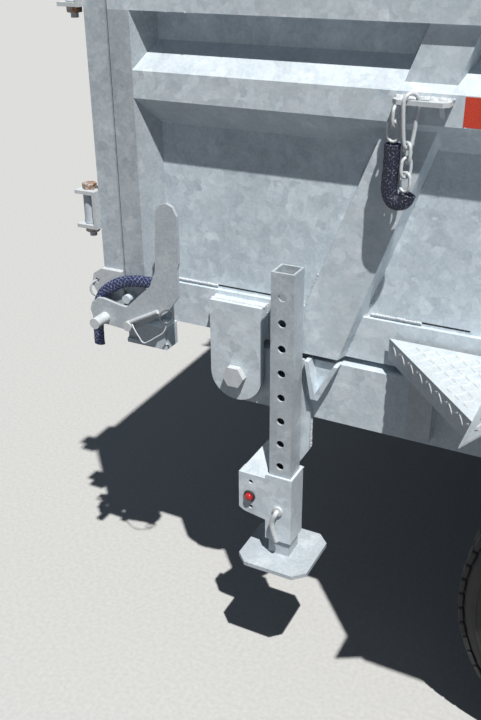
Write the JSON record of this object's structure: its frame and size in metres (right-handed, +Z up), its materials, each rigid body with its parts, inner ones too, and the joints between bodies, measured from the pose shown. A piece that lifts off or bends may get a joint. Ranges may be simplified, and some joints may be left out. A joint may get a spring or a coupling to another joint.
{
  "type": "dump trailer",
  "caption": "Galvanised tandem dump trailer with a tipping box, a swinging rear frame with barn doors, latch levers, drop legs and a tongue jack.",
  "frame": {"origin": "On the ground, on the centreline, at half of the overall length.", "axes": "+X is the towing direction, +Y is the trailer's left side and +Z is up."},
  "size_m": [5.0978, 2.5, 1.664],
  "materials": {
    "galvanised": "hot-dip galvanised, mottled and matt",
    "zinc": "zinc plated, smooth",
    "dark_steel": "satin black paint",
    "black_paint": "gloss black paint",
    "chrome": "polished rod",
    "rim_steel": "silver paint",
    "tyre": "black rubber",
    "navy_mesh": "woven navy sleeve",
    "red_lens": "clear red lens"
  },
  "bodies": {
    "chassis": {"main_rails": "galvanised", "side_rails": "galvanised", "cross_members": "galvanised", "rest_pads": "galvanised", "leg_sleeves": "galvanised", "lamp_guards": "galvanised", "marker_lamps": "red_lens", "leg_pins": "zinc", "bed_guides": "galvanised", "fenders": "galvanised", "step_plates": "galvanised", "axles": "galvanised", "springs": "dark_steel", "spring_hangers": "galvanised", "tongue_frame": "galvanised", "coupler": "zinc", "jack_post": "zinc", "pump_box": "dark_steel", "ram_feet": "galvanised", "pivot_bolts": "zinc"},
    "box": {"box_floor": "galvanised", "box_frame": "galvanised", "box_walls": "galvanised", "top_rails": "galvanised", "mid_rails": "galvanised", "corner_posts": "galvanised", "stakes": "galvanised", "pivot_plates": "galvanised", "rail_hooks": "zinc", "latch_brackets": "galvanised", "frame_ears": "galvanised", "ram_ears": "galvanised", "hook_chains": "zinc", "chain_sleeves": "navy_mesh"},
    "gate": {"gate_frame": "galvanised", "gate_pins": "zinc", "hinge_brackets": "zinc", "gate_lanyards": "navy_mesh"},
    "door_right": {"door_right": "galvanised"},
    "door_left": {"door_left": "galvanised"},
    "lock_bar_right": {"lock_bar_right": "zinc"},
    "lock_bar_left": {"lock_bar_left": "zinc"},
    "lever_right": {"latch_lever_right": "zinc", "lock_pin_right": "zinc"},
    "lever_left": {"latch_lever_left": "zinc", "lock_pin_left": "zinc"},
    "leg_right": {"drop_leg_right": "galvanised"},
    "leg_left": {"drop_leg_left": "galvanised"},
    "jack": {"jack_leg": "zinc"},
    "lid": {"pump_box_lid": "dark_steel"},
    "ram_barrel": {"ram_barrels": "black_paint"},
    "ram_rod": {"ram_rods": "chrome"},
    "wheel_rear_right": {"rim_rear_right": "rim_steel", "tyre_rear_right": "tyre"},
    "wheel_rear_left": {"rim_rear_left": "rim_steel", "tyre_rear_left": "tyre"},
    "wheel_front_right": {"rim_front_right": "rim_steel", "tyre_front_right": "tyre"},
    "wheel_front_left": {"rim_front_left": "rim_steel", "tyre_front_left": "tyre"}
  },
  "joints": [
    {"name": "box_tip", "type": "hinge", "parent": "chassis", "child": "box", "pos_m": [-2.171, 0, 0.745], "axis": [0, -1, 0], "range_deg": [0, 45]},
    {"name": "gate_swing", "type": "hinge", "parent": "box", "child": "gate", "pos_m": [-2.4714, 0, 1.64], "axis": [0, 1, 0], "range_deg": [0, 60]},
    {"name": "door_right_swing", "type": "hinge", "parent": "gate", "child": "door_right", "pos_m": [-2.5248, -0.935, 1.3], "axis": [0, 0, 1], "range_deg": [0, 180]},
    {"name": "door_left_swing", "type": "hinge", "parent": "gate", "child": "door_left", "pos_m": [-2.5248, 0.935, 1.3], "axis": [0, 0, -1], "range_deg": [0, 180]},
    {"name": "lock_bar_right_turn", "type": "hinge", "parent": "door_right", "child": "lock_bar_right", "pos_m": [-2.52, -0.05, 1.15], "axis": [0, 0, -1], "range_deg": [0, 90]},
    {"name": "lock_bar_left_turn", "type": "hinge", "parent": "door_left", "child": "lock_bar_left", "pos_m": [-2.52, 0.05, 1.15], "axis": [0, 0, 1], "range_deg": [0, 90]},
    {"name": "lever_right_turn", "type": "hinge", "parent": "gate", "child": "lever_right", "pos_m": [-2.479, -0.975, 0.842], "axis": [0, 1, 0], "range_deg": [0, 80]},
    {"name": "lever_left_turn", "type": "hinge", "parent": "gate", "child": "lever_left", "pos_m": [-2.479, 0.975, 0.842], "axis": [0, 1, 0], "range_deg": [0, 80]},
    {"name": "leg_right_slide", "type": "slide", "parent": "chassis", "child": "leg_right", "axis": [0, 0, -1], "range_m": [0, 0.2858]},
    {"name": "leg_left_slide", "type": "slide", "parent": "chassis", "child": "leg_left", "axis": [0, 0, -1], "range_m": [0, 0.2858]},
    {"name": "jack_slide", "type": "slide", "parent": "chassis", "child": "jack", "axis": [0, 0, 1], "range_m": [0, 0.35]},
    {"name": "lid_open", "type": "hinge", "parent": "chassis", "child": "lid", "pos_m": [1.671, 0, 1.1], "axis": [0, 1, 0], "range_deg": [0, 100]},
    {"name": "ram_turn", "type": "hinge", "parent": "chassis", "child": "ram_barrel", "pos_m": [-1.171, 0, 0.626], "axis": [0, -1, 0], "range_deg": [0, 68]},
    {"name": "rod_slide", "type": "slide", "parent": "ram_barrel", "child": "ram_rod", "axis": [0.9891, 0, 0.1474], "range_m": [0, 0.6]},
    {"name": "wheel_rear_right_spin", "type": "hinge", "parent": "chassis", "child": "wheel_rear_right", "pos_m": [-1.239, -0.8995, 0.388], "axis": [0, 1, 0], "continuous": true},
    {"name": "wheel_rear_left_spin", "type": "hinge", "parent": "chassis", "child": "wheel_rear_left", "pos_m": [-1.239, 0.8995, 0.388], "axis": [0, 1, 0], "continuous": true},
    {"name": "wheel_front_right_spin", "type": "hinge", "parent": "chassis", "child": "wheel_front_right", "pos_m": [-0.359, -0.8995, 0.388], "axis": [0, 1, 0], "continuous": true},
    {"name": "wheel_front_left_spin", "type": "hinge", "parent": "chassis", "child": "wheel_front_left", "pos_m": [-0.359, 0.8995, 0.388], "axis": [0, 1, 0], "continuous": true}
  ],
  "couplings": [
    {"joint": "ram_turn", "follows": "box_tip", "ratio": 1.4963},
    {"joint": "rod_slide", "follows": "box_tip", "m_per_rad": 0.7535}
  ]
}
